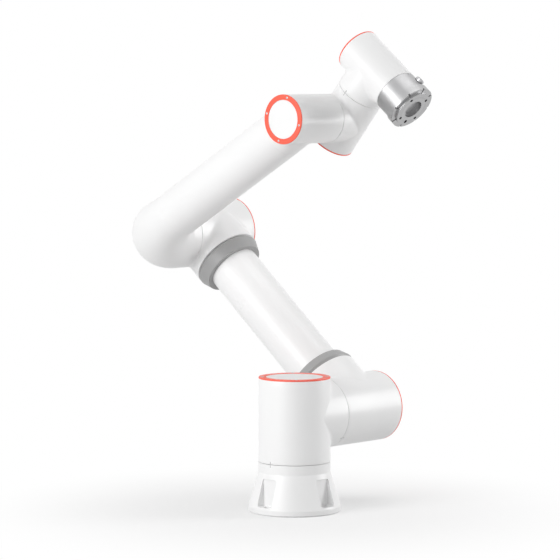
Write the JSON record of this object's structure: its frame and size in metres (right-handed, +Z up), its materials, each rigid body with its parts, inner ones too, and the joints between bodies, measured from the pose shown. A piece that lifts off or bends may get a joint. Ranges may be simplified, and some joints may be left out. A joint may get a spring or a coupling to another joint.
{
  "type": "collaborative robot arm",
  "caption": "Six-axis collaborative robot arm with white round tubes, coral joint rings, a bolted round foot and a metal tool flange.",
  "frame": {"origin": "centre of the base's mounting face, on the axis of the first joint", "axes": "+Z up along the first joint's axis; at rest both arm tubes and the last two wrist axes lie in planes parallel to XZ, with the elbow on the -X side and the tool on the +X side"},
  "size_m": [0.5619, 0.2765, 0.7656],
  "materials": {
    "housing_white": "white satin paint on castings",
    "tube_white": "white satin paint on tube",
    "collar_grey": "mid-grey satin",
    "ring_coral": "coral plastic",
    "cap_white": "white moulded plastic",
    "flange_metal": "turned bare metal",
    "connector_metal": "nickel plated",
    "drive_steel": "machined steel",
    "motor_steel": "laminated core and windings"
  },
  "bodies": {
    "base": {"base_foot": "housing_white", "base_connector": "connector_metal", "base_joint_output": "drive_steel"},
    "shoulder": {"shoulder_housing": "housing_white", "base_joint_gear": "drive_steel", "base_joint_motor": "motor_steel", "base_joint_ring": "ring_coral", "base_joint_cap": "cap_white", "shoulder_joint_output": "drive_steel"},
    "upper_arm": {"upper_arm_lower_housing": "housing_white", "lower_collar": "collar_grey", "upper_arm_tube": "tube_white", "upper_collar": "collar_grey", "upper_arm_upper_housing": "housing_white", "shoulder_joint_gear": "drive_steel", "shoulder_joint_motor": "motor_steel", "shoulder_joint_ring": "ring_coral", "shoulder_joint_cap": "cap_white", "elbow_joint_gear": "drive_steel", "elbow_joint_motor": "motor_steel", "elbow_joint_ring": "ring_coral", "elbow_joint_cap": "cap_white"},
    "forearm": {"elbow_casting": "housing_white", "forearm_tube": "tube_white", "forearm_end_housing": "housing_white", "elbow_joint_output": "drive_steel", "wrist_1_joint_gear": "drive_steel", "wrist_1_joint_motor": "motor_steel", "wrist_1_joint_ring": "ring_coral", "wrist_1_joint_cap": "cap_white"},
    "wrist_1": {"wrist_1_housing": "housing_white", "wrist_1_joint_output": "drive_steel", "wrist_2_joint_gear": "drive_steel", "wrist_2_joint_motor": "motor_steel", "wrist_2_joint_ring": "ring_coral", "wrist_2_joint_cap": "cap_white"},
    "wrist_2": {"wrist_2_housing": "housing_white", "wrist_2_joint_output": "drive_steel", "wrist_3_joint_gear": "drive_steel", "wrist_3_joint_motor": "motor_steel", "wrist_3_joint_ring": "ring_coral", "wrist_3_joint_cap": "cap_white"},
    "tool": {"tool_flange": "flange_metal", "tool_connector": "connector_metal", "wrist_3_joint_output": "drive_steel"},
    "base_motor_rotor": {"base_joint_rotor": "motor_steel"},
    "shoulder_motor_rotor": {"shoulder_joint_rotor": "motor_steel"},
    "elbow_motor_rotor": {"elbow_joint_rotor": "motor_steel"},
    "wrist_1_motor_rotor": {"wrist_1_joint_rotor": "motor_steel"},
    "wrist_2_motor_rotor": {"wrist_2_joint_rotor": "motor_steel"},
    "wrist_3_motor_rotor": {"wrist_3_joint_rotor": "motor_steel"}
  },
  "joints": [
    {"name": "base_joint", "type": "hinge", "parent": "base", "child": "shoulder", "pos_m": [0, 0, 0], "axis": [0, 0, 1], "range_deg": [-175, 175]},
    {"name": "shoulder_joint", "type": "hinge", "parent": "shoulder", "child": "upper_arm", "pos_m": [0, 0, 0.152], "axis": [0, 1, 0], "range_deg": [-125.4, 224.6]},
    {"name": "elbow_joint", "type": "hinge", "parent": "upper_arm", "child": "forearm", "pos_m": [-0.32365, 0, 0.42745], "axis": [0, 1, 0], "range_deg": [-259.3, 40.7]},
    {"name": "wrist_1_joint", "type": "hinge", "parent": "forearm", "child": "wrist_1", "pos_m": [0.01739, 0, 0.62674], "axis": [0, 1, 0], "range_deg": [-64.7, 285.3]},
    {"name": "wrist_2_joint", "type": "hinge", "parent": "wrist_1", "child": "wrist_2", "pos_m": [0.01739, 0.102, 0.62674], "axis": [0.6347, 0, 0.7727], "range_deg": [-85, 265]},
    {"name": "wrist_3_joint", "type": "hinge", "parent": "wrist_2", "child": "tool", "pos_m": [0.08213, 0.102, 0.70556], "axis": [0.7727, 0, -0.6347], "range_deg": [-175, 175]},
    {"name": "base_motor_spin", "type": "hinge", "parent": "shoulder", "child": "base_motor_rotor", "pos_m": [0, 0, 0], "axis": [0, 0, 1], "range_deg": [-17510, 17510]},
    {"name": "shoulder_motor_spin", "type": "hinge", "parent": "upper_arm", "child": "shoulder_motor_rotor", "pos_m": [0, 0, 0.152], "axis": [0, 1, 0], "range_deg": [-12550, 22470]},
    {"name": "elbow_motor_spin", "type": "hinge", "parent": "upper_arm", "child": "elbow_motor_rotor", "pos_m": [-0.32365, 0, 0.42745], "axis": [0, 1, 0], "range_deg": [-4080, 25940]},
    {"name": "wrist_1_motor_spin", "type": "hinge", "parent": "forearm", "child": "wrist_1_motor_rotor", "pos_m": [0.01739, 0, 0.62674], "axis": [0, 1, 0], "range_deg": [-28540, 6480]},
    {"name": "wrist_2_motor_spin", "type": "hinge", "parent": "wrist_1", "child": "wrist_2_motor_rotor", "pos_m": [0.01739, 0.102, 0.62674], "axis": [0.6347, 0, 0.7727], "range_deg": [-26510, 8510]},
    {"name": "wrist_3_motor_spin", "type": "hinge", "parent": "wrist_2", "child": "wrist_3_motor_rotor", "pos_m": [0.08213, 0.102, 0.70556], "axis": [0.7727, 0, -0.6347], "range_deg": [-17510, 17510]}
  ],
  "couplings": [
    {"joint": "base_motor_spin", "follows": "base_joint", "ratio": 100},
    {"joint": "shoulder_motor_spin", "follows": "shoulder_joint", "ratio": 100},
    {"joint": "elbow_motor_spin", "follows": "elbow_joint", "ratio": -100},
    {"joint": "wrist_1_motor_spin", "follows": "wrist_1_joint", "ratio": -100},
    {"joint": "wrist_2_motor_spin", "follows": "wrist_2_joint", "ratio": -100},
    {"joint": "wrist_3_motor_spin", "follows": "wrist_3_joint", "ratio": -100}
  ]
}
